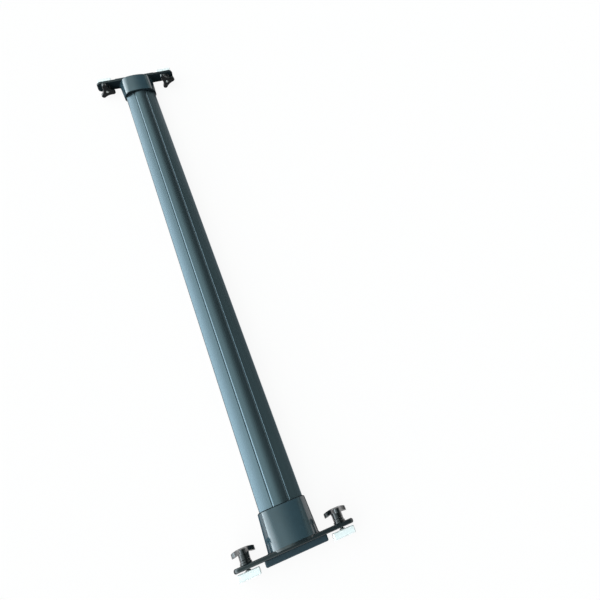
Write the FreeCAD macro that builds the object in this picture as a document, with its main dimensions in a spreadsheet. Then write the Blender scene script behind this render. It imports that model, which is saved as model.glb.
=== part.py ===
import FreeCAD, Part
import math
import os
import Sketcher
from FreeCAD import Placement, Rotation, Vector

# A roof rack crossbar: a wide domed aluminium tube with a moulded foot at each end. A foot is a
# sleeve over the tube with a plate set across its end. Two star knobs on each plate draw a
# sliding block on a stud towards it, and so clamp the lips of the car's roof rail.
# The row frame: X runs along the tube, Y along the car, Z up. The origin is on the surface that
# the bar rests on, below its middle. All lengths are millimetres and all angles are degrees.

SIZES = {
    "bar_length": 1117.0,
    "bar_width": 71.0,
    "bar_dome": 15.0,
    "bar_belly": 9.5,
    "bar_flat": 0.8,
    "bar_nose": 3.5,
    "bar_wall": 2.2,
    "web_offset": 13.5,
    "web_thickness": 1.8,
    "vee_offset": 13.5,
    "vee_width": 3.0,
    "vee_depth": 1.1,
    "bar_hole": 6.6,
    "sleeve_clearance": 0.2,
    "sleeve_length": 60.0,
    "insertion": 53.5,
    "end_play": 0.5,
    "mouth_wall": 3.0,
    "mouth_round": 1.4,
    "mouth_shoulder": 20.0,
    "mouth_crown": 1.2,
    "mouth_keel": 2.0,
    "base_width": 82.4,
    "base_dome": 19.5,
    "base_belly": 13.5,
    "base_shoulder": 26.0,
    "base_crown": 1.0,
    "base_corner": 3.5,
    "base_keel": 1.4,
    "flare_reach": 1.6,
    "flare_shoulder": 20.0,
    "flare_crown": 0.6,
    "flare_sink": 0.4,
    "shoulder_round": 1.6,
    "plate_length": 190.0,
    "plate_height": 25.0,
    "plate_thickness": 7.0,
    "plate_corner": 8.0,
    "plate_round": 3.0,
    "plate_rise": 1.0,
    "plate_lap": 3.0,
    "bolt_spacing": 150.0,
    "pad_length": 99.0,
    "pad_height": 14.0,
    "pad_depth": 9.0,
    "pad_round": 2.5,
    "pad_bevel": 1.5,
    "peg_spacing": 60.0,
    "peg_diameter": 6.0,
    "peg_length": 4.0,
    "peg_clearance": 0.1,
    "screw_setback": 15.0,
    "screw_pitch": 22.0,
    "screw_diameter": 6.0,
    "screw_head": 14.0,
    "screw_head_height": 3.2,
    "screw_rim": 0.8,
    "screw_tip": 0.6,
    "screw_socket": 4.0,
    "screw_socket_depth": 2.0,
    "screw_seat": 11.6,
    "screw_reach": 11.0,
    "seat_clearance": 1.0,
    "slot_width": 6.8,
    "slot_travel": 8.0,
    "nut_width": 22.0,
    "nut_height": 5.0,
    "nut_overhang": 9.0,
    "nut_gap": 0.1,
    "thread_clearance": 0.05,
    "bush_diameter": 18.8,
    "bush_waist": 16.8,
    "bush_height": 6.3,
    "bush_rim": 3.0,
    "bush_bevel": 0.6,
    "spigot_diameter": 12.0,
    "spigot_length": 4.0,
    "spigot_clearance": 0.1,
    "bush_bore": 6.6,
    "knob_gap": 0.2,
    "knob_height": 16.3,
    "knob_dome": 70.0,
    "knob_lobe": 5.2,
    "knob_reach": 15.0,
    "knob_waist": 9.5,
    "knob_stem": 16.8,
    "knob_thickness": 6.6,
    "knob_hub": 12.0,
    "knob_hub_depth": 0.6,
    "knob_edge": 1.2,
    "knob_bore": 8.0,
    "knob_margin": 1.0,
    "insert_diameter": 10.0,
    "insert_length": 12.5,
    "insert_bore": 6.12,
    "insert_ring": 0.5,
    "stud_diameter": 6.0,
    "stud_length": 31.5,
    "stud_head": 10.0,
    "stud_head_height": 2.0,
    "stud_collar": 8.6,
    "stud_collar_height": 1.2,
    "stud_chamfer": 0.8,
    "swivel_gap": 0.15,
    "block_length": 34.0,
    "block_height": 18.0,
    "block_thickness": 10.5,
    "block_bevel": 1.0,
    "right_rear_gap": 2.0,
    "right_front_gap": 2.8,
    "left_rear_gap": 2.8,
    "left_front_gap": 2.0,
    "right_rear_turn": 0.0,
    "right_front_turn": 0.0,
    "left_rear_turn": 12.0,
    "left_front_turn": 36.0,
}

LOBES = 3

doc = FreeCAD.newDocument("crossbar")
sheet = doc.addObject("Spreadsheet::Sheet", "Sizes")
for row, (alias, number) in enumerate(SIZES.items(), start=1):
    sheet.set(f"A{row}", alias)
    sheet.set(f"B{row}", str(number))
    sheet.setAlias(f"B{row}", alias)
doc.recompute()


class Size:
    """A length that knows both its number and the sheet expression which gives it."""

    def __init__(self, number, text):
        self.number = number
        self.text = text

    def joined(self, other, number, sign):
        return Size(number, f"({self.text} {sign} {as_size(other).text})")

    def __add__(self, other):
        return self.joined(other, self.number + as_size(other).number, "+")

    def __sub__(self, other):
        return self.joined(other, self.number - as_size(other).number, "-")

    def __mul__(self, other):
        return self.joined(other, self.number * as_size(other).number, "*")

    def __truediv__(self, other):
        return self.joined(other, self.number / as_size(other).number, "/")

    def __neg__(self):
        return Size(-self.number, f"(0 - {self.text})")


def as_size(value):
    if isinstance(value, Size):
        return value
    return Size(float(value), repr(float(value)))


def size(alias):
    return Size(float(sheet.get(alias)), f"Sizes.{alias}")


def square(value):
    return value * value


def arc_radius(half_chord, rise):
    """Radius of the arc that rises so far over the middle of its chord."""
    return (square(half_chord) + square(rise)) / (rise * 2)


def bind(target, path, value):
    """Drive one property of an object from the sheet."""
    target.setExpression(path, as_size(value).text)


# Sketches and features

def new_body(label):
    body = doc.addObject("PartDesign::Body", "Body_" + label)
    body.Label = label
    return body


def datum(body, role):
    """One of the body's own planes or axes."""
    return next(item for item in body.Origin.OriginFeatures if item.Role == role)


def new_sketch(body, role, name, shift=None):
    """A sketch on one of the body's own planes, moved along that plane's normal."""
    sketch = body.newObject("Sketcher::SketchObject", name)
    sketch.AttachmentSupport = [(datum(body, role), "")]
    sketch.MapMode = "FlatFace"
    if shift is not None:
        bind(sketch, ".AttachmentOffset.Base.z", shift)
    return sketch


def pin_point(sketch, geometry, position, across, up):
    """Fix one end of a line or arc, or a centre, at two driven distances from the origin."""
    for kind, value in (("DistanceX", across), ("DistanceY", up)):
        constraint = Sketcher.Constraint(kind, geometry, position, as_size(value).number)
        index = sketch.addConstraint(constraint)
        bind(sketch, f"Constraints[{index}]", value)


def short_arc(start, end, radius):
    """The shorter arc between two points. A positive radius turns left, a negative one right."""
    chord = end - start
    side = Vector(-chord.y, chord.x, 0).normalize()
    lift = math.sqrt(max(radius * radius - chord.Length ** 2 / 4, 0.0))
    centre = (start + end) / 2 + side * math.copysign(lift, radius)
    circle = Part.Circle(centre, Vector(0, 0, 1), abs(radius))
    first = math.atan2(start.y - centre.y, start.x - centre.x)
    last = math.atan2(end.y - centre.y, end.x - centre.x)
    if radius < 0:
        first, last = last, first
    return Part.ArcOfCircle(circle, first, last)


def outline(sketch, steps):
    """Close a loop through steps of (across, up, radius). Zero radius leaves by a straight line."""
    points = [Vector(as_size(across).number, as_size(up).number, 0) for across, up, _ in steps]
    ends = []
    for index, (across, up, radius) in enumerate(steps):
        start = points[index]
        end = points[(index + 1) % len(points)]
        bend = as_size(radius)
        if bend.number == 0:
            geometry = sketch.addGeometry(Part.LineSegment(start, end), False)
            ends.append((geometry, 1, 2))
        else:
            geometry = sketch.addGeometry(short_arc(start, end, bend.number), False)
            ends.append((geometry, 1, 2) if bend.number > 0 else (geometry, 2, 1))
            constraint = Sketcher.Constraint("Radius", geometry, abs(bend.number))
            number = sketch.addConstraint(constraint)
            bind(sketch, f"Constraints[{number}]", bend if bend.number > 0 else -bend)
    for index, (across, up, _) in enumerate(steps):
        here, before = ends[index], ends[index - 1]
        sketch.addConstraint(Sketcher.Constraint("Coincident", before[0], before[2], here[0], here[1]))
        pin_point(sketch, here[0], here[1], across, up)


def rectangle(sketch, left, low, right, high):
    outline(sketch, [(left, low, 0), (right, low, 0), (right, high, 0), (left, high, 0)])


def circle(sketch, across, up, diameter):
    middle = Vector(as_size(across).number, as_size(up).number, 0)
    radius = as_size(diameter) / 2
    geometry = sketch.addGeometry(Part.Circle(middle, Vector(0, 0, 1), radius.number), False)
    pin_point(sketch, geometry, 3, across, up)
    index = sketch.addConstraint(Sketcher.Constraint("Radius", geometry, radius.number))
    bind(sketch, f"Constraints[{index}]", radius)


def feature(body, kind, name, **links):
    item = body.newObject("PartDesign::" + kind, name)
    for key, value in links.items():
        setattr(item, key, value)
    return item


def pad(body, sketch, length, name, reverse=False):
    item = feature(body, "Pad", name, Profile=sketch, Reversed=reverse)
    bind(item, "Length", length)
    return item


def pocket(body, sketch, name, depth=None, reverse=False):
    """Cut a sketch into the body, to a driven depth or right through, and see that it cuts."""
    doc.recompute()
    before = body.Shape.Volume
    item = feature(body, "Pocket", name, Profile=sketch, Reversed=reverse)
    if depth is None:
        item.Type = "ThroughAll"
    else:
        bind(item, "Length", depth)
    doc.recompute()
    if not body.Shape.Volume < before:
        raise RuntimeError(f"{body.Label}: {name} cuts nothing")
    return item


def revolve(body, sketch, name, cut=False):
    """Turn a sketch on the XZ plane about the body's Z axis."""
    kind = "Groove" if cut else "Revolution"
    return feature(body, kind, name, Profile=sketch, ReferenceAxis=(sketch, ["V_Axis"]), Angle=360)


def edges_where(body, test):
    """Names of the edges of the body's newest shape whose middle and bounds pass a test."""
    doc.recompute()
    names = []
    for index, edge in enumerate(body.Shape.Edges, start=1):
        middle = edge.valueAt((edge.FirstParameter + edge.LastParameter) / 2)
        if test(edge, middle):
            names.append(f"Edge{index}")
    return names


def soften(body, kind, name, test, amount):
    """Fillet or chamfer the edges that pass the test, at a driven size."""
    names = edges_where(body, test)
    if not names:
        raise RuntimeError(f"{body.Label}: no edge for {name}")
    item = feature(body, kind, name, Base=(body.Tip, names))
    bind(item, "Radius" if kind == "Fillet" else "Size", amount)
    return item


def near(value, target, slack=0.01):
    return abs(value - target) < slack


# The tube's section and those that fit round and inside it

class Arch:
    """A domed section: a top arc and a belly arc, each running tangent into its corner arcs."""

    def __init__(self, half, dome, belly, flat_up, flat_down, shoulder, corner):
        self.half = half
        self.dome = dome
        self.belly = belly
        self.flat_up = flat_up
        self.flat_down = flat_down
        self.shoulder = shoulder
        self.corner = corner

    def grown(self, by):
        """The same section with every side moved outward by one distance."""
        return Arch(self.half + by, self.dome + by, self.belly + by,
                    self.flat_up, self.flat_down, self.shoulder + by, self.corner + by)

    def widened(self, by):
        return Arch(self.half + by, self.dome, self.belly,
                    self.flat_up, self.flat_down, self.shoulder, self.corner)

    def crown(self, rise, flat, corner):
        """Radius of the arc over one side, and where it meets the corner arc."""
        across = self.half - corner
        tall = rise - flat
        top = square(across) + square(tall) - square(corner)
        radius = top / ((tall - corner) * 2)
        reach = radius / (radius - corner)
        centre = rise - radius
        return radius, across * reach, centre + (flat - centre) * reach

    def over(self):
        return self.crown(self.dome, self.flat_up, self.shoulder)

    def under(self):
        return self.crown(self.belly, self.flat_down, self.corner)

    def draw(self, sketch):
        over, over_y, over_z = self.over()
        under, under_y, under_z = self.under()
        outline(sketch, [
            (over_y, over_z, over),
            (-over_y, over_z, self.shoulder),
            (-self.half, self.flat_up, 0),
            (-self.half, -self.flat_down, self.corner),
            (-under_y, -under_z, under),
            (under_y, -under_z, self.corner),
            (self.half, -self.flat_down, 0),
            (self.half, self.flat_up, self.shoulder),
        ])


def arched(half, dome, belly, shoulder, crown, corner, keel):
    """A section whose top rises so far over its shoulders, and its belly over its corners."""
    return Arch(half, dome, belly,
                dome - shoulder - crown, belly - corner - keel, shoulder, corner)


def arc_drop(radius, across):
    """How far an arc falls away from its middle, close enough for small angles."""
    return square(across) / (radius * 2)


BAR = Arch(size("bar_width") / 2, size("bar_dome"), size("bar_belly"),
           size("bar_flat"), size("bar_flat"), size("bar_nose"), size("bar_nose"))
BAR_OVER = BAR.over()[0]
BAR_UNDER = BAR.under()[0]
BAR_INSIDE = BAR.grown(-size("bar_wall"))
SLEEVE_INSIDE = BAR.grown(size("sleeve_clearance"))
MOUTH_GROWTH = size("sleeve_clearance") + size("mouth_wall")
MOUTH = arched(BAR.half + MOUTH_GROWTH, BAR.dome + MOUTH_GROWTH, BAR.belly + MOUTH_GROWTH,
               size("mouth_shoulder"), size("mouth_crown"),
               BAR.corner + MOUTH_GROWTH, size("mouth_keel"))
BASE = arched(size("base_width") / 2, size("base_dome"), size("base_belly"),
              size("base_shoulder"), size("base_crown"),
              size("base_corner"), size("base_keel"))
FLARE = Arch(BASE.half, BASE.flat_up + size("flare_shoulder") + size("flare_crown"),
             BASE.flat_down + BASE.corner + size("flare_crown"),
             BASE.flat_up, BASE.flat_down, size("flare_shoulder"), BASE.corner)

# Where things lie along a foot, measured outward from its mouth, and up from the tube's axis

PLATE_INNER = size("sleeve_length") - size("plate_lap")
PLATE_OUTER = PLATE_INNER + size("plate_thickness")
SCREW_STATIONS = (size("screw_setback"), size("screw_setback") + size("screw_pitch"))
MOUTH_STATION = size("bar_length") / 2 - size("insertion")


def bar_extrusion():
    body = new_body("bar_extrusion")
    half_length = size("bar_length") / 2
    skin = new_sketch(body, "YZ_Plane", "BarSkin", -half_length)
    BAR.draw(skin)
    pad(body, skin, size("bar_length"), "BarLength")
    hollow = new_sketch(body, "YZ_Plane", "BarHollow", -half_length)
    BAR_INSIDE.draw(hollow)
    pocket(body, hollow, "BarBore", reverse=True)
    webs = new_sketch(body, "YZ_Plane", "BarWebs", -half_length)
    overlap = size("bar_wall") / 2
    high = BAR.dome - overlap - arc_drop(BAR_OVER, size("web_offset"))
    low = BAR.belly - overlap - arc_drop(BAR_UNDER, size("web_offset"))
    for side in (-1, 1):
        middle = size("web_offset") * side
        spread = size("web_thickness") / 2
        rectangle(webs, middle - spread, -low, middle + spread, high)
    pad(body, webs, size("bar_length"), "BarWebLength")
    vees = new_sketch(body, "YZ_Plane", "BarVees", -half_length)
    floor = BAR.dome - arc_drop(BAR_OVER, size("vee_offset"))
    for side in (-1, 1):
        middle = size("vee_offset") * side
        outline(vees, [
            (middle, floor - size("vee_depth"), 0),
            (middle + size("vee_width"), floor + size("vee_depth"), 0),
            (middle - size("vee_width"), floor + size("vee_depth"), 0),
        ])
    pocket(body, vees, "BarVeeCut", reverse=True)
    holes = new_sketch(body, "XY_Plane", "BarScrewHoles")
    for end in (-1, 1):
        for station in SCREW_STATIONS:
            circle(holes, (MOUTH_STATION + station) * end, 0, size("bar_hole"))
    pocket(body, holes, "BarScrewCut")
    return body


def foot(label):
    body = new_body(label)
    plate = new_sketch(body, "YZ_Plane", "EndPlate", PLATE_INNER)
    plate_outline(plate)
    pad(body, plate, size("plate_thickness"), "EndPlateThickness")
    soften(body, "Fillet", "EndPlateRound", is_flat_across_x, size("plate_round"))
    lip = new_sketch(body, "YZ_Plane", "SleeveLip")
    MOUTH.grown(-size("mouth_round")).draw(lip)
    mouth = new_sketch(body, "YZ_Plane", "SleeveMouth", size("mouth_round"))
    MOUTH.draw(mouth)
    base = new_sketch(body, "YZ_Plane", "SleeveBase", PLATE_INNER)
    BASE.draw(base)
    crest = new_sketch(body, "YZ_Plane", "SleeveCrest", size("sleeve_length"))
    BASE.grown(-size("shoulder_round")).draw(crest)
    stations = [mouth, base, crest]
    feature(body, "AdditiveLoft", "Sleeve", Profile=lip, Sections=stations, Ruled=True)
    root = new_sketch(body, "YZ_Plane", "SleeveRoot", PLATE_INNER - size("flare_reach"))
    FLARE.grown(-size("flare_sink")).draw(root)
    spread = new_sketch(body, "YZ_Plane", "SleeveSpread", PLATE_INNER)
    FLARE.widened(size("flare_reach")).draw(spread)
    feature(body, "AdditiveLoft", "SleeveFlare", Profile=root, Sections=[spread], Ruled=True)
    cavity = new_sketch(body, "YZ_Plane", "SleeveCavity")
    SLEEVE_INSIDE.draw(cavity)
    pocket(body, cavity, "SleeveBore", size("insertion") + size("end_play"), reverse=True)
    bolts = new_sketch(body, "YZ_Plane", "SpigotHoles", PLATE_OUTER)
    for side in (-1, 1):
        circle(bolts, size("bolt_spacing") / 2 * side, size("plate_rise"),
               size("spigot_diameter") + size("spigot_clearance") * 2)
    pocket(body, bolts, "SpigotCut", size("plate_thickness"))
    pegs = new_sketch(body, "YZ_Plane", "PegHoles", PLATE_OUTER)
    for side in (-1, 1):
        circle(pegs, size("peg_spacing") / 2 * side, size("plate_rise"),
               size("peg_diameter") + size("peg_clearance") * 2)
    pocket(body, pegs, "PegCut", size("peg_length") + size("peg_clearance"))
    screw_seats(body)
    return body


def plate_outline(sketch):
    """The end plate's outline, a long rectangle with round corners."""
    half = size("plate_length") / 2
    high = size("plate_height") / 2
    corner = size("plate_corner")
    rise = size("plate_rise")
    outline(sketch, [
        (half - corner, rise - high, corner),
        (half, rise - high + corner, 0),
        (half, rise + high - corner, corner),
        (half - corner, rise + high, 0),
        (corner - half, rise + high, corner),
        (-half, rise + high - corner, 0),
        (-half, rise - high + corner, corner),
        (corner - half, rise - high, 0),
    ])


def is_flat_across_x(edge, middle):
    return near(edge.BoundBox.XLength, 0)


def screw_seats(body):
    """Flat seats under the screw heads, and the slots that the screws pass through."""
    seats = new_sketch(body, "XY_Plane", "ScrewSeats", -size("screw_seat"))
    for station in SCREW_STATIONS:
        circle(seats, station, 0, size("screw_head") + size("seat_clearance") * 2)
    pocket(body, seats, "ScrewSeatCut")
    slots = new_sketch(body, "XY_Plane", "ScrewSlots")
    half = size("slot_width") / 2
    for station in SCREW_STATIONS:
        back = station - size("slot_travel")
        outline(slots, [
            (back, half, half),
            (back - half, 0, half),
            (back, -half, 0),
            (station, -half, half),
            (station + half, 0, half),
            (station, half, 0),
        ])
    pocket(body, slots, "ScrewSlotCut")


def pad_block(label):
    """The block on the plate's outer face, which sits in the rail. Its pegs enter the plate."""
    body = new_body(label)
    half = size("pad_length") / 2
    high = size("pad_height") / 2
    face = new_sketch(body, "YZ_Plane", "PadFace")
    rectangle(face, -half, -high, half, high)
    pad(body, face, size("pad_depth"), "PadDepth")
    depth = size("pad_depth").number

    def is_front_edge(edge, middle):
        return near(middle.x, depth)

    def is_end_edge(edge, middle):
        return near(edge.BoundBox.XLength, depth) and near(abs(middle.y), half.number)

    soften(body, "Fillet", "PadEndRound", is_end_edge, size("pad_round"))
    soften(body, "Chamfer", "PadFrontBevel", is_front_edge, size("pad_bevel"))
    pegs = new_sketch(body, "YZ_Plane", "PadPegs")
    for side in (-1, 1):
        circle(pegs, size("peg_spacing") / 2 * side, 0, size("peg_diameter"))
    pad(body, pegs, size("peg_length"), "PadPegLength", reverse=True)
    return body


def foot_screw():
    """One truss head screw, standing on its head's underside, with its shank down the -Z axis."""
    body = new_body("foot_screw_pattern")
    half = size("screw_diameter") / 2
    head = size("screw_head") / 2
    rise = size("screw_head_height")
    rim = size("screw_rim")
    tip = size("screw_tip")
    shape = new_sketch(body, "XZ_Plane", "ScrewShape")
    outline(shape, [
        (0, -size("screw_reach"), 0),
        (half - tip, -size("screw_reach"), 0),
        (half, tip - size("screw_reach"), 0),
        (half, 0, 0),
        (head, 0, 0),
        (head, rim, arc_radius(head, rise - rim)),
        (0, rise, 0),
    ])
    revolve(body, shape, "ScrewTurned")
    socket = new_sketch(body, "XY_Plane", "ScrewSocket", rise)
    flat = size("screw_socket") / 2
    corner = flat * (2 / math.sqrt(3))
    outline(socket, [
        (corner, 0, 0),
        (corner / 2, flat, 0),
        (-corner / 2, flat, 0),
        (-corner, 0, 0),
        (-corner / 2, -flat, 0),
        (corner / 2, -flat, 0),
    ])
    pocket(body, socket, "ScrewSocketCut", size("screw_socket_depth"))
    return body


def nut_plate(label):
    """The tapped bar that lies in the tube and takes both screws."""
    body = new_body(label)
    half = size("nut_width") / 2
    seat = BAR_INSIDE.under()[0] - size("nut_gap")
    fall = arc_drop(BAR_UNDER, half)
    low = size("nut_gap") - BAR_INSIDE.belly
    face = new_sketch(body, "YZ_Plane", "NutFace")
    outline(face, [
        (-half, low + fall, seat),
        (half, low + fall, 0),
        (half, low + size("nut_height"), 0),
        (-half, low + size("nut_height"), 0),
    ])
    pad(body, face, size("screw_pitch") + size("nut_overhang") * 2, "NutLength")
    holes = new_sketch(body, "XY_Plane", "NutHoles")
    for station in (size("nut_overhang"), size("nut_overhang") + size("screw_pitch")):
        circle(holes, station, 0, size("screw_diameter") + size("thread_clearance") * 2)
    pocket(body, holes, "NutHoleCut")
    return body


def bush(label):
    """The collar that a knob seats on. Its spigot fills the plate's hole."""
    body = new_body(label)
    bore = size("bush_bore") / 2
    rim = size("bush_diameter") / 2
    waist = size("bush_waist") / 2
    spigot = size("spigot_diameter") / 2
    high = size("bush_height")
    bevel = size("bush_bevel")
    shape = new_sketch(body, "XZ_Plane", "BushShape")
    outline(shape, [
        (bore, -size("spigot_length"), 0),
        (spigot, -size("spigot_length"), 0),
        (spigot, 0, 0),
        (rim, 0, 0),
        (rim, size("bush_rim") - bevel, 0),
        (rim - bevel, size("bush_rim"), 0),
        (waist, size("bush_rim"), 0),
        (waist, high - bevel, 0),
        (waist - bevel, high, 0),
        (bore, high, 0),
    ])
    revolve(body, shape, "BushTurned")
    return body


def knob(label):
    """A three-lobed knob like a shallow umbrella on a stem, standing on its seat."""
    body = new_body(label)
    knob_star(body)
    knob_crown(body)
    knob_underside(body)
    socket = new_sketch(body, "XY_Plane", "KnobSocket")
    circle(socket, 0, 0, size("insert_diameter"))
    pocket(body, socket, "KnobSocketCut", size("insert_length"), reverse=True)
    through = new_sketch(body, "XY_Plane", "KnobThrough")
    circle(through, 0, 0, size("knob_bore"))
    pocket(body, through, "KnobThroughCut", reverse=True)
    return body


def knob_star(body):
    """The star's outline at full height: round lobes joined tangent to the hollows between."""
    radius = size("knob_lobe")
    reach = size("knob_reach")
    waist = size("knob_waist")
    sine = math.sin(math.pi / LOBES)
    cosine = math.cos(math.pi / LOBES)
    across = square(reach) + square(waist) - reach * waist * (2 * cosine) - square(radius)
    hollow = across / ((reach * cosine + radius - waist) * 2)
    away = waist + hollow
    share = radius / (radius + hollow)
    meet_x = reach + (away * cosine - reach) * share
    meet_y = away * sine * share
    lobe = new_sketch(body, "XY_Plane", "KnobLobe")
    outline(lobe, [
        (0, 0, 0),
        (waist * cosine, -waist * sine, -hollow),
        (meet_x, -meet_y, radius),
        (reach + radius, 0, radius),
        (meet_x, meet_y, -hollow),
        (waist * cosine, waist * sine, 0),
    ])
    first = pad(body, lobe, size("knob_height"), "KnobLobeHeight")
    star = feature(body, "PolarPattern", "KnobStar", Originals=[first], Occurrences=LOBES)
    star.Angle = 360
    star.Axis = (datum(body, "Z_Axis"), [""])
    body.Tip = star
    doc.recompute()


def knob_rim():
    """How far out the cuts over and under the star run, and how far the dome has fallen there."""
    edge = size("knob_reach") + size("knob_lobe") + size("knob_margin")
    return edge, square(edge) / (size("knob_dome") * 2)


def knob_crown(body):
    """Dome the star's top, sink its hub, and round the rim over the sides of the lobes."""
    edge, fall = knob_rim()
    crest = size("knob_height")
    hub = size("knob_hub") / 2
    above = new_sketch(body, "XZ_Plane", "KnobCrown")
    outline(above, [
        (0, crest - size("knob_hub_depth"), 0),
        (0, crest + size("knob_margin"), 0),
        (edge, crest + size("knob_margin"), 0),
        (edge, crest - fall, arc_radius(edge, fall)),
        (hub, crest - square(hub) / (size("knob_dome") * 2), 0),
        (hub, crest - size("knob_hub_depth"), 0),
    ])
    revolve(body, above, "KnobCrownCut", cut=True)
    low = crest.number / 2
    inner = size("knob_stem").number / 2

    def is_rim(edge, middle):
        return edge.BoundBox.ZMin > low and math.hypot(middle.x, middle.y) > inner

    soften(body, "Fillet", "KnobRimRound", is_rim, size("knob_edge"))


def knob_underside(body):
    """Cut away below the star, all round the stem, along an arc that follows the dome."""
    edge, fall = knob_rim()
    stem = size("knob_stem") / 2
    dome = size("knob_dome")
    level = size("knob_height") - size("knob_thickness")
    start = level - square(stem) / (dome * 2)
    finish = level - fall
    sag = square(edge - stem) / (dome * 8)
    chord = square(edge - stem) + square(start - finish)
    below = new_sketch(body, "XZ_Plane", "KnobUnderside")
    outline(below, [
        (stem, -size("knob_margin"), 0),
        (edge, -size("knob_margin"), 0),
        (edge, finish, chord / (sag * 8)),
        (stem, start, 0),
    ])
    revolve(body, below, "KnobUndersideCut", cut=True)


def knob_insert(label):
    """The threaded metal sleeve moulded into a knob, ringed by two grooves."""
    body = new_body(label)
    bore = size("insert_bore") / 2
    wall = size("insert_diameter") / 2
    ring = size("insert_ring")
    third = size("insert_length") / 3
    shape = new_sketch(body, "XZ_Plane", "InsertShape")
    steps = [(bore, 0, 0), (wall, 0, 0)]
    for place in (1, 2):
        steps += [
            (wall, third * place - ring, 0),
            (wall - ring, third * place - ring, 0),
            (wall - ring, third * place + ring, 0),
            (wall, third * place + ring, 0),
        ]
    steps += [(wall, size("insert_length"), 0), (bore, size("insert_length"), 0)]
    outline(shape, steps)
    revolve(body, shape, "InsertTurned")
    return body


def stud(label):
    """A stud whose head is sunk in the outer face of its block. Zero is the block's inner face."""
    body = new_body(label)
    shank = size("stud_diameter") / 2
    head = size("stud_head") / 2
    collar = size("stud_collar") / 2
    gap = size("swivel_gap")
    foot_level = -size("block_thickness")
    bevel = size("stud_chamfer")
    shape = new_sketch(body, "XZ_Plane", "StudShape")
    outline(shape, [
        (0, foot_level, 0),
        (head, foot_level, 0),
        (head, foot_level + size("stud_head_height"), 0),
        (shank, foot_level + size("stud_head_height"), 0),
        (shank, gap, 0),
        (collar, gap, 0),
        (collar, gap + size("stud_collar_height"), 0),
        (shank, gap + size("stud_collar_height"), 0),
        (shank, size("stud_length") - bevel, 0),
        (shank - bevel, size("stud_length"), 0),
        (0, size("stud_length"), 0),
    ])
    revolve(body, shape, "StudTurned")
    return body


def rail_block(label):
    """The oblong block that turns in the rail's slot. Zero is its inner face."""
    body = new_body(label)
    half = size("block_length") / 2
    high = size("block_height") / 2
    face = new_sketch(body, "XY_Plane", "BlockFace")
    rectangle(face, -high, -half, high, half)
    pad(body, face, size("block_thickness"), "BlockThickness", reverse=True)
    soften(body, "Chamfer", "BlockBevel", lambda edge, middle: True, size("block_bevel"))
    bore = new_sketch(body, "XY_Plane", "BlockBore")
    circle(bore, 0, 0, size("stud_diameter") + size("swivel_gap") * 2)
    pocket(body, bore, "BlockBoreCut")
    sink = new_sketch(body, "XY_Plane", "BlockSink", size("stud_head_height")
                      + size("swivel_gap") - size("block_thickness"))
    circle(sink, 0, 0, size("stud_head") + size("swivel_gap") * 2)
    pocket(body, sink, "BlockSinkCut")
    return body


# Places

OUTWARD = {"right": Rotation(), "left": Rotation(Vector(0, 0, 1), 180)}
INWARD_Z = Rotation(Vector(0, 1, 0), -90)
CORNERS = [(end, side) for end in ("right", "left") for side in ("rear", "front")]


def lowest_reach(turn):
    """How far below its axis a knob reaches, with one lobe turned from the upright."""
    drops = []
    for lobe in range(LOBES):
        drops.append(-math.cos(math.radians(turn + 360 * lobe / LOBES)))
    return size("knob_reach") * max(drops) + size("knob_lobe")


def axis_height():
    """Height of the bolt axes above the surface that the lowest knob lobe touches."""
    reaches = [lowest_reach(size(f"{end}_{side}_turn").number) for end, side in CORNERS]
    return max(reaches, key=lambda reach: reach.number)


BAR_HEIGHT = axis_height() - size("plate_rise")


def place(body, end, along, across, up, turn=None):
    """Set a body at a place measured from a foot's mouth, then turn the foot to its end."""
    facing = OUTWARD[end]
    sign = 1 if end == "right" else -1
    rotation = facing if turn is None else facing * turn
    body.Placement = Placement(Vector(), rotation)
    bind(body, ".Placement.Base.x", (MOUTH_STATION + along) * sign)
    bind(body, ".Placement.Base.y", as_size(across) * sign)
    bind(body, ".Placement.Base.z", BAR_HEIGHT + up)


def screw_group(pattern, label, end):
    """Both screws of one foot, heads down, as one group of two solids."""
    upside_down = Rotation(Vector(1, 0, 0), 180)
    shapes = []
    for station in SCREW_STATIONS:
        screw = pattern.Shape.copy()
        level = BAR_HEIGHT - size("screw_seat")
        spot = Vector((MOUTH_STATION + station).number, 0, level.number)
        screw.Placement = Placement(spot, upside_down)
        shapes.append(screw)
    group = doc.addObject("Part::Feature", label)
    group.Shape = Part.makeCompound(shapes)
    group.Placement = Placement(Vector(), OUTWARD[end])
    return group


def build_end(end, screw_pattern):
    """One foot with all that is fixed to it. Returns its sub-parts."""
    made = [foot(f"{end}_foot"), pad_block(f"{end}_rail_pad"), nut_plate(f"{end}_nut_plate")]
    place(made[0], end, 0, 0, 0)
    place(made[1], end, PLATE_OUTER, 0, size("plate_rise"))
    place(made[2], end, size("screw_setback") - size("nut_overhang"), 0, 0)
    made.append(screw_group(screw_pattern, f"{end}_foot_screws", end))
    return made


def build_corner(end, side):
    """One knob with its bush, insert, stud and rail block. Returns its sub-parts."""
    name = f"{end}_{side}"
    toward = (1 if side == "front" else -1) * (1 if end == "right" else -1)
    across = size("bolt_spacing") / 2 * toward
    up = size("plate_rise")
    turned = INWARD_Z * Rotation(Vector(0, 0, 1), size(f"{name}_turn").number)
    seat = PLATE_INNER - size("bush_height") - size("knob_gap")
    block_face = PLATE_OUTER + size(f"{name}_gap")
    collar = bush(f"{name}_bush")
    place(collar, end, PLATE_INNER, across, up, INWARD_Z)
    grip = knob(f"{name}_knob")
    place(grip, end, seat, across, up, turned)
    sleeve = knob_insert(f"{name}_knob_insert")
    place(sleeve, end, seat, across, up, turned)
    bolt = stud(f"{name}_stud")
    place(bolt, end, block_face, across, up, INWARD_Z)
    block = rail_block(f"{name}_rail_block")
    place(block, end, block_face, across, up, INWARD_Z)
    return [collar, grip, sleeve, bolt, block]


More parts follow.
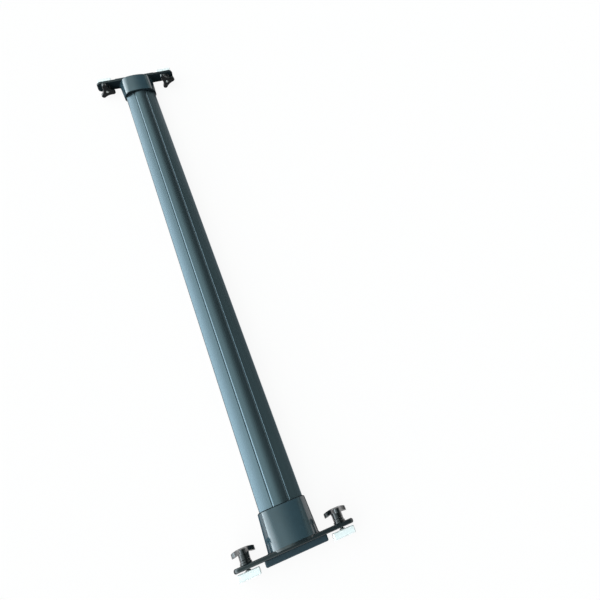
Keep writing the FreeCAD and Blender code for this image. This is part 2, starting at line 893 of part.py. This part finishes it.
def check(parts):
    """Stop if any object failed to build or any sub-part has no sound solid."""
    for item in doc.Objects:
        if {"Invalid", "Error"} & set(item.State):
            raise RuntimeError(f"{item.Name} ({item.Label}) failed: {item.State}")
    for item in parts:
        if item.Shape.isNull() or not item.Shape.isValid() or not item.Shape.Solids:
            raise RuntimeError(f"{item.Label} has no sound solid")


def main():
    bar = bar_extrusion()
    bind(bar, ".Placement.Base.z", BAR_HEIGHT)
    screw_pattern = foot_screw()
    doc.recompute()
    parts = [bar]
    for end in ("right", "left"):
        parts += build_end(end, screw_pattern)
    for end, side in CORNERS:
        parts += build_corner(end, side)
    doc.recompute()
    check(parts)
    os.makedirs("parts", exist_ok=True)
    for item in parts:
        item.Shape.exportStep(f"parts/{item.Label}.step")
        box = item.Shape.BoundBox
        print(f"{item.Label}: {item.Shape.Volume / 1000:.2f} cm3, "
              f"x {box.XMin:.1f} {box.XMax:.1f}, y {box.YMin:.1f} {box.YMax:.1f}, "
              f"z {box.ZMin:.1f} {box.ZMax:.1f}")


main()
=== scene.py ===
import math

import bmesh
import bpy
from bpy.props import FloatProperty, FloatVectorProperty, IntProperty, PointerProperty
from mathutils import Matrix, Vector


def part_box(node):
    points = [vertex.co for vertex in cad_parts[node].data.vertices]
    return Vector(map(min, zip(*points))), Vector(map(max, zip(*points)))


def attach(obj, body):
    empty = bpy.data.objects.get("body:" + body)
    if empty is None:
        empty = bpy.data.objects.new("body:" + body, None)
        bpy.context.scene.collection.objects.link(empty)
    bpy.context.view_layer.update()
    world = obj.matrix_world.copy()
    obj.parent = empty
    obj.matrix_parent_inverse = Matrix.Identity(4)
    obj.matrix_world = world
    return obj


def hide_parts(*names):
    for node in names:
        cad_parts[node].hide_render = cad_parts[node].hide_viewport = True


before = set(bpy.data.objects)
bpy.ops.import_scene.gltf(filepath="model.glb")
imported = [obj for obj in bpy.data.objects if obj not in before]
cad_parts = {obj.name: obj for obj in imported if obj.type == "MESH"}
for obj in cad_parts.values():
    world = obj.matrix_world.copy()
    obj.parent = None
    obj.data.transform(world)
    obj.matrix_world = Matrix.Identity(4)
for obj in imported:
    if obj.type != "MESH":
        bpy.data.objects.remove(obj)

# The looks of a roof rack crossbar: its finishes, its studs' threads, and the stage it stands on.
# Everything is in metres, in the frame of the construction model. X runs along the bar, Y along
# the car and Z up.

bl_info = {
    "name": "Roof rack crossbar",
    "version": (1, 0, 0),
    "blender": (4, 5, 0),
    "location": "3D View > Sidebar > Crossbar",
    "description": "Finishes a roof rack crossbar, cuts its studs' threads and sets its stage",
    "category": "Object",
}

ENDS = ("right", "left")
CORNERS = [f"{end}_{side}" for end in ENDS for side in ("rear", "front")]
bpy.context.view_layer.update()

# Vertices nearer than the first are made one, and a cut takes points nearer than the second
# as lying in its plane
WELD = 1e-6
CUT_MARGIN = 1e-8

# Faces that meet at more than this angle meet in a sharp edge
SHARP_ANGLE = math.radians(32)

# Flat steps round a turned piece, round the floor, and up the floor's cove
TURNED_STEPS = 48
FLOOR_STEPS = 96
COVE_STEPS = 12

# Rays that look for each rounded edge
EDGE_RAYS = 6

# How far the cove turns upward, and how far the floor lies below the lowest point of the part
COVE_ANGLE = math.radians(80)
FLOOR_DROP = 0.0001

# Where the feet's finish changes along the bar, as the start and the end of a soft change: the
# painted shade along the lip, from the sleeve's mouth outward, and the end plate's own colour,
# from its outer face inward
MOUTH_SHADE_CHANGE = (0.0008, 0.0020)
PLATE_CHANGE = (0.0078, 0.0068)

# On a sky of radius one, the horizon's light fades out between two heights, and its white takes
# on the soft light's own colour between two distances to the rear
HORIZON_FADE = (0.16, 0.29)
WHITE_FADE = (0.0, 0.3)

# The soft light goes from the shade's colour to its own between these shares of its strength
SHADE_FADE = (0.06, 0.3)

# Width of the camera's square sensor in millimetres, and how near the camera still sees
SENSOR_WIDTH = 36
NEAREST_SEEN = 0.01


# Settings

class CrossbarColours(bpy.types.PropertyGroup):
    """Colours of the finishes"""

    bar: FloatVectorProperty(
        name="Bar", description="Satin coat of the aluminium bar",
        subtype="COLOR", size=3, min=0, max=1, default=(0.090, 0.121, 0.139))
    bar_rubbed: FloatVectorProperty(
        name="Bar, rubbed", description="Coat where it is rubbed along its edges",
        subtype="COLOR", size=3, min=0, max=1, default=(0.170, 0.210, 0.235))
    foot: FloatVectorProperty(
        name="Foot", description="Moulded plastic of the feet",
        subtype="COLOR", size=3, min=0, max=1, default=(0.029, 0.051, 0.064))
    # The end plates' own colour, which is also painted as shade along the lip of each sleeve's
    # mouth
    plate: FloatVectorProperty(
        name="End plate", description="Black plastic of the feet's end plates",
        subtype="COLOR", size=3, min=0, max=1, default=(0.010, 0.015, 0.018))
    rubbed: FloatVectorProperty(
        name="Rubbed plastic", description="Plastic where it is rubbed along its edges",
        subtype="COLOR", size=3, min=0, max=1, default=(0.050, 0.075, 0.090))
    pad: FloatVectorProperty(
        name="Rail pad", description="Matt plastic of the rail pads",
        subtype="COLOR", size=3, min=0, max=1, default=(0.014, 0.030, 0.042))
    knob: FloatVectorProperty(
        name="Knob", description="Semi-gloss plastic of the knobs and bushes",
        subtype="COLOR", size=3, min=0, max=1, default=(0.004, 0.005, 0.006))
    zinc: FloatVectorProperty(
        name="Zinc", description="Bright zinc plate of the blocks, screws and nut plates",
        subtype="COLOR", size=3, min=0, max=1, default=(0.96, 0.93, 0.93))
    # A darker grey that the zinc parts take along their edges
    zinc_edge: FloatVectorProperty(
        name="Zinc, edges", description="Zinc plate along edges, where dirt gathers",
        subtype="COLOR", size=3, min=0, max=1, default=(0.42, 0.43, 0.43))
    zinc_dull: FloatVectorProperty(
        name="Zinc, dull", description="Zinc plate where it has gone dull",
        subtype="COLOR", size=3, min=0, max=1, default=(0.88, 0.86, 0.86))
    stud: FloatVectorProperty(
        name="Stud", description="Duller zinc plate of the studs",
        subtype="COLOR", size=3, min=0, max=1, default=(0.38, 0.40, 0.39))
    brass: FloatVectorProperty(
        name="Insert", description="Turned metal of the threaded inserts",
        subtype="COLOR", size=3, min=0, max=1, default=(0.55, 0.50, 0.38))


class CrossbarSizes(bpy.types.PropertyGroup):
    """Sizes of what is cut or turned here"""

    thread_diameter: FloatProperty(
        name="Thread diameter", description="Outer diameter of the studs' thread",
        subtype="DISTANCE", unit="LENGTH", default=0.006)
    thread_pitch: FloatProperty(
        name="Thread pitch", description="Advance of the studs' thread in one turn",
        subtype="DISTANCE", unit="LENGTH", default=0.001)
    thread_depth: FloatProperty(
        name="Thread depth", description="Depth of the studs' thread",
        subtype="DISTANCE", unit="LENGTH", default=0.00061)
    thread_steps: IntProperty(
        name="Thread steps", description="Flat steps in one turn of the thread",
        min=12, max=64, default=28)
    head_height: FloatProperty(
        name="Stud head height", description="Height of a stud's head",
        subtype="DISTANCE", unit="LENGTH", default=0.002)
    collar_diameter: FloatProperty(
        name="Stud collar diameter", description="Diameter of the collar over the block",
        subtype="DISTANCE", unit="LENGTH", default=0.0086)
    collar_height: FloatProperty(
        name="Stud collar height", description="Height of the collar over the block",
        subtype="DISTANCE", unit="LENGTH", default=0.0012)
    collar_gap: FloatProperty(
        name="Stud collar gap", description="Running gap between the collar and the block",
        subtype="DISTANCE", unit="LENGTH", default=0.00015)


class CrossbarStage(bpy.types.PropertyGroup):
    """Floor, light and camera"""

    floor_radius: FloatProperty(
        name="Floor radius", description="Radius of the flat part of the floor",
        subtype="DISTANCE", unit="LENGTH", default=6.0)
    cove_radius: FloatProperty(
        name="Cove radius", description="Radius of the floor's upward curve",
        subtype="DISTANCE", unit="LENGTH", default=0.6)
    floor_colour: FloatVectorProperty(
        name="Floor", description="Colour of the floor under the light",
        subtype="COLOR", size=3, min=0, max=1, default=(0.080, 0.071, 0.069))
    floor_glow: FloatProperty(
        name="Floor glow", description="White that the floor adds where it is seen or mirrored",
        min=0, max=1, default=0.91)
    light_strength: FloatProperty(
        name="Light strength", description="Strength of the soft light where it is brightest",
        min=0, default=11.0)
    light_colour: FloatVectorProperty(
        name="Light colour", description="Colour of the soft light where it is bright",
        subtype="COLOR", size=3, min=0, max=1, default=(0.82, 0.95, 1.0))
    shade_colour: FloatVectorProperty(
        name="Shade colour", description="Colour of the soft light where it is weak",
        subtype="COLOR", size=3, min=0, max=1, default=(0.79, 1.0, 0.97))
    lens: FloatProperty(
        name="Lens", description="Focal length on a 36 mm square sensor",
        min=1, default=27.576)
    camera_place: FloatVectorProperty(
        name="Camera place", description="Where the camera stands",
        subtype="TRANSLATION", unit="LENGTH", size=3, default=(0.56628, -0.04616, 0.79591))
    camera_ahead: FloatVectorProperty(
        name="Camera ahead", description="Direction that the camera looks in",
        subtype="DIRECTION", size=3, default=(-0.43599, 0.23232, -0.86945))
    camera_right: FloatVectorProperty(
        name="Camera right", description="Direction of the picture's right side",
        subtype="DIRECTION", size=3, default=(0.36653, 0.92819, 0.06421))


def colours():
    return bpy.context.scene.crossbar_colours


def sizes():
    return bpy.context.scene.crossbar_sizes


# How the soft light changes from the front horizon over the zenith to the rear horizon, as
# pairs of an angle from the zenith in degrees and a share of the light's full strength

LIGHT_STOPS = (
    (-90, 0.060), (-78, 0.034), (-66, 0.026), (-54, 0.036), (-40, 0.029), (-28, 0.011),
    (-18, 0.006), (-8, 0.023), (0, 0.077), (8, 0.131), (16, 0.132), (26, 0.151),
    (38, 0.192), (50, 0.268), (64, 0.356), (78, 0.560), (90, 1.0),
)


# Shader maths

class Term:
    """A socket in a material, so that maths on it is written as a Python expression."""

    def __init__(self, recipe, socket):
        self.recipe = recipe
        self.socket = socket

    def __add__(self, other):
        return self.recipe.maths("ADD", self, other)

    def __radd__(self, other):
        return self.recipe.maths("ADD", other, self)

    def __sub__(self, other):
        return self.recipe.maths("SUBTRACT", self, other)

    def __rsub__(self, other):
        return self.recipe.maths("SUBTRACT", other, self)

    def __mul__(self, other):
        return self.recipe.maths("MULTIPLY", self, other)

    def __rmul__(self, other):
        return self.recipe.maths("MULTIPLY", other, self)

    def __abs__(self):
        return self.recipe.maths("ABSOLUTE", self, 0.0)


class Recipe:
    """The node tree of one material or world, from its first values to its output."""

    def __init__(self, owner):
        self.owner = owner
        owner.use_nodes = True
        self.tree = owner.node_tree
        self.tree.nodes.clear()

    def add(self, kind, settings=None, sockets=None):
        """A node of one type, its settings made first and then its sockets fed."""
        node = self.tree.nodes.new("ShaderNode" + kind)
        for name, value in (settings or {}).items():
            setattr(node, name, value)
        for name, value in (sockets or {}).items():
            self.feed(node.inputs[name], value)
        return node

    def feed(self, socket, value):
        """Link a socket to a term or another socket, or give it a plain value."""
        if isinstance(value, Term):
            value = value.socket
        if isinstance(value, bpy.types.NodeSocket):
            self.tree.links.new(value, socket)
        elif socket.type == "RGBA" and len(value) == 3:
            socket.default_value = (*value, 1.0)
        else:
            socket.default_value = value

    def maths(self, operation, first, second):
        node = self.add("Math", {"operation": operation}, {0: first, 1: second})
        return Term(self, node.outputs[0])

    def ramp(self, value, low, high):
        """Zero below one value, one above another, and smooth between."""
        node = self.add("MapRange", {"interpolation_type": "SMOOTHSTEP"},
                        {"Value": value, "From Min": low, "From Max": high})
        return Term(self, node.outputs["Result"])

    def blend(self, factor, low, high):
        """A colour between two others."""
        node = self.add("Mix", {"data_type": "RGBA"}, {0: factor, 6: low, 7: high})
        return node.outputs[2]

    def curve(self, value, stops):
        """A smooth line through pairs of a place and a height, both from zero to one."""
        node = self.add("ValToRGB", None, {"Fac": value})
        ramp = node.color_ramp
        ramp.interpolation = "CARDINAL"
        for index, (spot, height) in enumerate(stops):
            # A new ramp already has its first two marks
            mark = ramp.elements[index] if index < 2 else ramp.elements.new(spot)
            mark.position = spot
            mark.color = (height, height, height, 1.0)
        return Term(self, node.outputs["Color"])

    def mottled(self, cloud, colour, darkest, lightest=1.0):
        """A colour that goes between two multiples of itself as a cloud does."""
        return self.blend(cloud, [part * darkest for part in colour],
                          [part * lightest for part in colour])

    def here(self):
        """The place on the piece, in Object coordinates."""
        return self.add("TexCoord").outputs["Object"]

    def normal(self):
        """The direction that the surface faces in."""
        return self.add("NewGeometry").outputs["Normal"]

    def rounded_normal(self, radius):
        """The direction that the surface would face in with its edges rounded."""
        return self.add("Bevel", {"samples": EDGE_RAYS}, {"Radius": radius}).outputs["Normal"]

    def part_of(self, vector, axis):
        """One of the three numbers of a place or direction."""
        return Term(self, self.add("SeparateXYZ", None, {0: vector}).outputs[axis])

    def distance_along(self):
        """How far a point lies from the middle of the bar, towards either end."""
        return abs(self.part_of(self.here(), "X"))

    def grain(self, size, detail=2.0, stretch=(1, 1, 1)):
        """Noise with features of about one size, in metres, drawn out along the axes."""
        shrink = [1 / (size * part) for part in stretch]
        spot = self.add("VectorMath", {"operation": "MULTIPLY"}, {0: self.here(), 1: shrink})
        node = self.add("TexNoise", None,
                        {"Vector": spot.outputs[0], "Scale": 1.0, "Detail": detail})
        return Term(self, node.outputs[0])

    def edges(self, radius, low, high):
        """One along edges sharper than a radius, and zero on broad faces."""
        match = self.add("VectorMath", {"operation": "DOT_PRODUCT"},
                         {0: self.rounded_normal(radius), 1: self.normal()})
        return self.ramp(1 - Term(self, match.outputs["Value"]), low, high)

    def worn(self, patch):
        """One where edges are rubbed, in patches of about one size, in metres."""
        patches = self.ramp(self.grain(patch, detail=4.0), low=0.35, high=0.7)
        return self.edges(radius=0.0008, low=0.02, high=0.3) * patches

    def relief(self, height, distance, edge_radius):
        """A normal with fine relief, rounded along the edges."""
        node = self.add("Bump", None, {"Height": height, "Distance": distance,
                                       "Normal": self.rounded_normal(edge_radius)})
        return node.outputs["Normal"]

    def finish(self, sockets):
        shader = self.add("BsdfPrincipled", None, sockets)
        self.add("OutputMaterial", None, {"Surface": shader.outputs[0]})
        return self.owner


def new_recipe(name):
    return Recipe(bpy.data.materials.new(name))


# Finishes

def bar_finish():
    """Satin coat over an aluminium extrusion, with faint lines from the die along its length."""
    recipe = new_recipe("bar_satin_coat")
    die_lines = recipe.grain(0.0006, detail=3.0, stretch=(400, 1, 1))
    peel = recipe.grain(0.0012)
    cloud = recipe.grain(0.09, stretch=(3, 1, 1))
    tone = recipe.mottled(cloud, colours().bar, darkest=0.9, lightest=1.12)
    return recipe.finish({
        "Base Color": recipe.blend(recipe.worn(0.02) * 0.3, tone, colours().bar_rubbed),
        "Metallic": 0.9,
        "Roughness": 0.22 + die_lines * 0.08 + cloud * 0.04,
        "Normal": recipe.relief(die_lines * 0.6 + peel * 0.4, distance=0.00002,
                                edge_radius=0.0003),
    })


def moulded_finish(name, colour, roughness, texture, depth, level, sheen=None, skin=1.5,
                   plate=None):
    """Moulded plastic: a fine spark texture, faint flow clouds and rubbed edges.

    The texture has a size and a depth in metres, and the level is the plain gloss. A sheen is
    a smooth skin over the plastic, given as a function that finds where it lies, and skin is
    its index of refraction. A plate colour is the end plate's own colour, and is also painted as
    shade along the lip of a sleeve's mouth.
    """
    recipe = new_recipe(name)
    spark = recipe.grain(texture, detail=3.0)
    cloud = recipe.grain(0.03, detail=3.0)
    scuffs = recipe.ramp(recipe.grain(0.0025, detail=4.0), low=0.55, high=0.75)
    tone = recipe.mottled(cloud, colour, darkest=0.88, lightest=1.14)
    # The plate colour: the end plate's own, and painted shade along the lip of the sleeve's mouth
    if plate is not None:
        tone = recipe.blend(painted_mouth_shade(recipe) + on_plate(recipe), tone, plate)
    return recipe.finish({
        "Base Color": recipe.blend(recipe.worn(0.008) * 0.4, tone, colours().rubbed),
        "Roughness": roughness + spark * 0.10 + cloud * 0.05 - scuffs * 0.04,
        "Specular IOR Level": level,
        "Coat Weight": 0.0 if sheen is None else sheen(recipe),
        "Coat Roughness": roughness,
        "Coat IOR": skin,
        "Normal": recipe.relief(spark, depth, edge_radius=0.0004),
    })


def painted_mouth_shade(recipe):
    """One where shade is painted along a sleeve's mouth, and zero on the rest of the foot."""
    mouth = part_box("right_foot")[0].x
    start, end = MOUTH_SHADE_CHANGE
    return 1 - recipe.ramp(recipe.distance_along(), mouth + start, mouth + end)


def on_plate(recipe):
    """One on the end plate, and zero on the sleeve."""
    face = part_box("right_foot")[1].x
    start, end = PLATE_CHANGE
    return recipe.ramp(recipe.distance_along(), face - start, face - end)


def sleeve_sheen(recipe):
    """The shoulders are smooth, the top less so; the sides and the lip's painted shade are not."""
    upward = recipe.part_of(recipe.normal(), "Z")
    shoulders = recipe.ramp(upward, low=0.3, high=0.6)
    top = recipe.ramp(upward, low=0.92, high=0.99)
    return shoulders * (1 - top * 0.45) * (1 - painted_mouth_shade(recipe)) * (1 - on_plate(recipe) * 0.3)


def knob_sheen(recipe):
    """The sides of the knobs' rims and stems are smooth, their tops less so, their faces not."""
    top = recipe.ramp(recipe.part_of(recipe.normal(), "Z"), low=0.6, high=0.95)
    face = recipe.ramp(abs(recipe.part_of(recipe.normal(), "X")), low=0.5, high=0.9)
    return (1 - face) * (1 - top * 0.7)


def zinc_finish():
    """Bright zinc plate: nearly white, with dull patches, a darker grey along edges and a faint
    grain.
    """
    recipe = new_recipe("bright_zinc_plate")
    cloud = recipe.grain(0.006, detail=4.0)
    grain = recipe.grain(0.00035, detail=3.0, stretch=(1, 5, 1))
    dull = recipe.ramp(cloud, low=0.40, high=0.68)
    # The zinc is a darker grey along its edges
    darker_edges = recipe.edges(radius=0.0009, low=0.01, high=0.10)
    tone = recipe.blend(dull, colours().zinc, colours().zinc_dull)
    return recipe.finish({
        "Base Color": recipe.blend(darker_edges, tone, colours().zinc_edge),
        "Metallic": 0.2,
        "Roughness": 0.30 + dull * 0.16 + grain * 0.10,
        "Normal": recipe.relief(grain, distance=0.00001, edge_radius=0.0003),
    })


def turned_finish(name, colour):
    """Turned metal with rings from the tool."""
    recipe = new_recipe(name)
    rings = recipe.grain(0.00012, stretch=(1, 30, 30))
    cloud = recipe.grain(0.004, detail=3.0)
    return recipe.finish({
        "Base Color": recipe.mottled(cloud, colour, darkest=0.75),
        "Metallic": 0.6,
        "Roughness": 0.38 + cloud * 0.14 + rings * 0.06,
        "Normal": recipe.relief(rings, distance=0.00001, edge_radius=0.0002),
    })


def floor_finish(stage):
    """A matt floor, which glows white where it is seen or mirrored, and lights nothing."""
    recipe = new_recipe("floor_white")
    rays = recipe.add("LightPath").outputs
    mirrored = Term(recipe, rays["Is Glossy Ray"]) + rays["Is Transmission Ray"]
    seen = recipe.maths("MINIMUM", mirrored + rays["Is Camera Ray"], 1.0)
    mottle = recipe.grain(0.6)
    return recipe.finish({
        "Base Color": recipe.mottled(mottle, stage.floor_colour, darkest=0.99),
        "Roughness": 0.9,
        "Specular IOR Level": 0.0,
        "Emission Color": recipe.blend(seen, (0, 0, 0), (1, 1, 1)),
        "Emission Strength": stage.floor_glow,
    })


def paint(node, material):
    """Give one node of the construction model a finish."""
    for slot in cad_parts[node].material_slots:
        slot.material = material


# Turned and threaded pieces

def new_object(name, shape, material):
    """An object in one finish, from a bmesh, shaded smooth apart from its sharp edges."""
    mesh = bpy.data.meshes.new(name)
    shape.normal_update()
    shape.to_mesh(mesh)
    shape.free()
    for face in mesh.polygons:
        face.use_smooth = True
    mesh.set_sharp_from_angle(angle=SHARP_ANGLE)
    mesh.materials.append(material)
    made = bpy.data.objects.new(name, mesh)
    bpy.context.scene.collection.objects.link(made)
    return made


def outline(shape, points):
    """An open line through points given as a radius about Z and a height."""
    corners = [shape.verts.new((radius, 0, height)) for radius, height in points]
    return corners + [shape.edges.new(pair) for pair in zip(corners, corners[1:])]


def turned(shape, profile):
    """Spin an outline of (radius, height) about Z. The outline starts and ends on the axis."""
    bmesh.ops.spin(shape, geom=outline(shape, profile), cent=(0, 0, 0), axis=(0, 0, 1),
                   angle=2 * math.pi, steps=TURNED_STEPS, use_merge=True)
    bmesh.ops.remove_doubles(shape, verts=shape.verts, dist=WELD)
    bmesh.ops.recalc_face_normals(shape, faces=shape.faces)
    # A merged spin leaves its faces in an order that changes from run to run
    ordered = sorted(shape.faces, key=lambda face: tuple(face.calc_center_median()))
    ranks = {face: rank for rank, face in enumerate(ordered)}
    shape.faces.sort(key=ranks.get)


def threaded(shape, low, high):
    """Wind the studs' vee thread about Z between two heights, closed, with a bevelled tip."""
    wanted = sizes()
    radius, depth = wanted.thread_diameter / 2, wanted.thread_depth
    pitch, steps = wanted.thread_pitch, wanted.thread_steps
    # Turns to spare at both ends, which the two cuts take off
    turns = math.ceil((high - low) / pitch) + 2
    start = low - pitch
    crest = pitch / 16
    profile = [
        (radius - depth, start),
        (radius, start + (pitch / 2 - crest)),
        (radius, start + (pitch / 2 + crest)),
        (radius - depth, start + pitch),
    ]
    bmesh.ops.spin(shape, geom=outline(shape, profile), cent=(0, 0, 0), axis=(0, 0, 1),
                   dvec=(0, 0, pitch / steps), angle=2 * math.pi * turns, steps=steps * turns)
    bmesh.ops.remove_doubles(shape, verts=shape.verts, dist=WELD)
    for level, normal in ((low, (0, 0, -1)), (high, (0, 0, 1))):
        everything = shape.verts[:] + shape.edges[:] + shape.faces[:]
        bmesh.ops.bisect_plane(shape, geom=everything, plane_co=(0, 0, level), plane_no=normal,
                               clear_outer=True, dist=CUT_MARGIN)
    for corner in shape.verts:
        reach = math.hypot(corner.co.x, corner.co.y)
        allowed = radius - max(corner.co.z - (high - depth), 0)
        if reach > allowed:
            corner.co.x *= allowed / reach
            corner.co.y *= allowed / reach
    rims = [edge for edge in shape.edges if edge.is_boundary]
    bmesh.ops.holes_fill(shape, edges=rims, sides=0)
    bmesh.ops.recalc_face_normals(shape, faces=shape.faces)


def stud_head(shape, radius, block_face):
    """Turn a stud's head at the height zero, and its neck and collar on the rail block's face."""
    wanted = sizes()
    core = wanted.thread_diameter / 2 - wanted.thread_depth
    collar = wanted.collar_diameter / 2
    collar_low = block_face + wanted.collar_gap
    collar_high = collar_low + wanted.collar_height
    round_off = wanted.collar_height / 4
    turned(shape, [
        (0, 0),
        (radius - round_off, 0),
        (radius, round_off),
        (radius, wanted.head_height),
        (core, wanted.head_height),
        (core, collar_low),
        (collar, collar_low),
        (collar, collar_high - round_off),
        (collar - round_off, collar_high),
        (0, collar_high),
    ])


def ends_of(node):
    """Where the outer and the inner end of a node lie along X."""
    low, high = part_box(node)
    return (high.x, low.x) if low.x > 0 else (low.x, high.x)


def stud_piece(corner, material):
    """A threaded stud with its head, which stands for the plain one in the construction model."""
    node = f"{corner}_stud"
    low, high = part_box(node)
    middle = (low + high) / 2
    outer, inner = ends_of(node)
    block_face = abs(ends_of(f"{corner}_rail_block")[1] - outer)
    shape = bmesh.new()
    threaded(shape, block_face + sizes().collar_gap, abs(inner - outer))
    head = bmesh.new()
    stud_head(head, (high.y - low.y) / 2, block_face)
    spare = bpy.data.meshes.new("stud_head")
    head.to_mesh(spare)
    head.free()
    shape.from_mesh(spare)
    bpy.data.meshes.remove(spare)
    turn = Matrix.Rotation(math.copysign(math.radians(90), inner - outer), 4, "Y")
    lay = Matrix.Translation((outer, middle.y, middle.z)) @ turn
    bmesh.ops.transform(shape, matrix=lay, verts=shape.verts)
    piece = new_object(f"{corner}_threaded_stud", shape, material)
    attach(piece, node)
    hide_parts(node)


# Operators

class CROSSBAR_OT_bar(bpy.types.Operator):
    """Give the bar its satin coat"""

    bl_idname = "crossbar.bar"
    bl_label = "Finish bar"

    def execute(self, context):
        paint("bar_extrusion", bar_finish())
        return {"FINISHED"}


class CROSSBAR_OT_feet(bpy.types.Operator):
    """Give the feet and the rail pads their moulded textures"""

    bl_idname = "crossbar.feet"
    bl_label = "Finish feet"

    def execute(self, context):
        foot = moulded_finish("foot_moulded_plastic", colours().foot, roughness=0.13,
                              texture=0.0004, depth=0.00001, level=0.0, sheen=sleeve_sheen,
                              skin=1.82, plate=colours().plate)
        pad = moulded_finish("rail_pad_plastic", colours().pad, roughness=0.45,
                             texture=0.0006, depth=0.00004, level=0.35)
        for end in ENDS:
            paint(f"{end}_foot", foot)
            paint(f"{end}_rail_pad", pad)
        return {"FINISHED"}


class CROSSBAR_OT_knobs(bpy.types.Operator):
    """Give the knobs, their bushes and their inserts their finishes"""

    bl_idname = "crossbar.knobs"
    bl_label = "Finish knobs"

    def execute(self, context):
        plastic = moulded_finish("knob_plastic", colours().knob, roughness=0.20,
                                 texture=0.0005, depth=0.000005, level=0.15,
                                 sheen=knob_sheen, skin=1.9)
        metal = turned_finish("insert_turned_metal", colours().brass)
        for corner in CORNERS:
            paint(f"{corner}_knob", plastic)
            paint(f"{corner}_bush", plastic)
            paint(f"{corner}_knob_insert", metal)
        return {"FINISHED"}


class CROSSBAR_OT_metalwork(bpy.types.Operator):
    """Plate the blocks, screws and nut plates, and cut the studs' threads"""

    bl_idname = "crossbar.metalwork"
    bl_label = "Make metalwork"

    def execute(self, context):
        zinc = zinc_finish()
        thread = turned_finish("stud_zinc_plate", colours().stud)
        for end in ENDS:
            paint(f"{end}_foot_screws", zinc)
            paint(f"{end}_nut_plate", zinc)
        for corner in CORNERS:
            paint(f"{corner}_rail_block", zinc)
            stud_piece(corner, thread)
        return {"FINISHED"}


class CROSSBAR_OT_stage(bpy.types.Operator):
    """Set the floor, the light and the camera"""

    bl_idname = "crossbar.stage"
    bl_label = "Set stage"

    def execute(self, context):
        stage = context.scene.crossbar_stage
        make_floor(stage)
        make_light(context.scene, stage)
        make_camera(context.scene, stage)
        context.scene.view_settings.view_transform = "Standard"
        return {"FINISHED"}


def make_floor(stage):
    """A round floor that curves up at its rim."""
    shape = bmesh.new()
    bmesh.ops.create_circle(shape, cap_ends=True, segments=FLOOR_STEPS,
                            radius=stage.floor_radius)
    bmesh.ops.translate(shape, vec=(0, 0, -FLOOR_DROP), verts=shape.verts)
    for step in range(COVE_STEPS):
        before, here = (COVE_ANGLE * part / COVE_STEPS for part in (step, step + 1))
        rim = [edge for edge in shape.edges if edge.is_boundary]
        grown = bmesh.ops.extrude_edge_only(shape, edges=rim)["geom"]
        corners = [item for item in grown if isinstance(item, bmesh.types.BMVert)]
        reach = stage.floor_radius + stage.cove_radius * math.sin(here)
        last = stage.floor_radius + stage.cove_radius * math.sin(before)
        bmesh.ops.scale(shape, vec=(reach / last, reach / last, 1), verts=corners)
        lift = stage.cove_radius * (math.cos(before) - math.cos(here))
        bmesh.ops.translate(shape, vec=(0, 0, lift), verts=corners)
    floor = new_object("floor", shape, floor_finish(stage))


def make_light(scene, stage):
    """Soft light, strong from the rear and weak from the front, with a white horizon all round."""
    recipe = Recipe(bpy.data.worlds.new("soft_light"))
    ray = recipe.add("TexCoord").outputs["Generated"]
    rearward = 0 - recipe.part_of(ray, "Y")
    height = recipe.part_of(ray, "Z")
    lean = recipe.maths("ARCTAN2", rearward, height)
    stops = [(0.5 + angle / 180, level) for angle, level in LIGHT_STOPS]
    share = recipe.curve(0.5 + lean * (1 / math.pi), stops)
    colour = recipe.blend(recipe.ramp(share, *SHADE_FADE), stage.shade_colour,
                          stage.light_colour)
    horizon = 1 - recipe.ramp(height, *HORIZON_FADE)
    white = 1 - recipe.ramp(rearward, *WHITE_FADE)
    colour = recipe.blend(horizon * white, colour, (1, 1, 1))
    strength = recipe.maths("MAXIMUM", share * stage.light_strength, horizon)
    shader = recipe.add("Background", None, {"Color": colour, "Strength": strength})
    recipe.add("OutputWorld", None, {"Surface": shader.outputs[0]})
    scene.world = recipe.owner


def make_camera(scene, stage):
    """The camera that sees the bar as the photograph does, from above its right end."""
    data = bpy.data.cameras.new("camera")
    data.sensor_width = SENSOR_WIDTH
    data.lens = stage.lens
    data.clip_start = NEAREST_SEEN
    camera = bpy.data.objects.new("camera", data)
    scene.collection.objects.link(camera)
    back = -Vector(stage.camera_ahead).normalized()
    right = Vector(stage.camera_right).normalized()
    up = back.cross(right).normalized()
    right = up.cross(back)
    turn = Matrix((right, up, back)).transposed().to_4x4()
    camera.matrix_world = Matrix.Translation(stage.camera_place) @ turn
    scene.camera = camera


class CROSSBAR_PT_panel(bpy.types.Panel):
    """Colours, sizes and steps of the crossbar"""

    bl_idname = "CROSSBAR_PT_panel"
    bl_label = "Crossbar"
    bl_space_type = "VIEW_3D"
    bl_region_type = "UI"
    bl_category = "Crossbar"

    def draw(self, context):
        for group in ("crossbar_colours", "crossbar_sizes", "crossbar_stage"):
            box = self.layout.box()
            settings = getattr(context.scene, group)
            for name in settings.bl_rna.properties.keys():
                if name not in ("rna_type", "name"):
                    box.prop(settings, name)
        for operator in OPERATORS:
            self.layout.operator(operator.bl_idname)


GROUPS = (CrossbarColours, CrossbarSizes, CrossbarStage)
OPERATORS = (CROSSBAR_OT_bar, CROSSBAR_OT_feet, CROSSBAR_OT_knobs, CROSSBAR_OT_metalwork,
             CROSSBAR_OT_stage)
CLASSES = (*GROUPS, *OPERATORS, CROSSBAR_PT_panel)


def register():
    for item in CLASSES:
        bpy.utils.register_class(item)
    bpy.types.Scene.crossbar_colours = PointerProperty(type=CrossbarColours)
    bpy.types.Scene.crossbar_sizes = PointerProperty(type=CrossbarSizes)
    bpy.types.Scene.crossbar_stage = PointerProperty(type=CrossbarStage)


def unregister():
    del bpy.types.Scene.crossbar_stage
    del bpy.types.Scene.crossbar_sizes
    del bpy.types.Scene.crossbar_colours
    for item in reversed(CLASSES):
        bpy.utils.unregister_class(item)


def main():
    register()
    bpy.ops.crossbar.bar()
    bpy.ops.crossbar.feet()
    bpy.ops.crossbar.knobs()
    bpy.ops.crossbar.metalwork()
    bpy.ops.crossbar.stage()


if __name__ == "__main__":
    main()
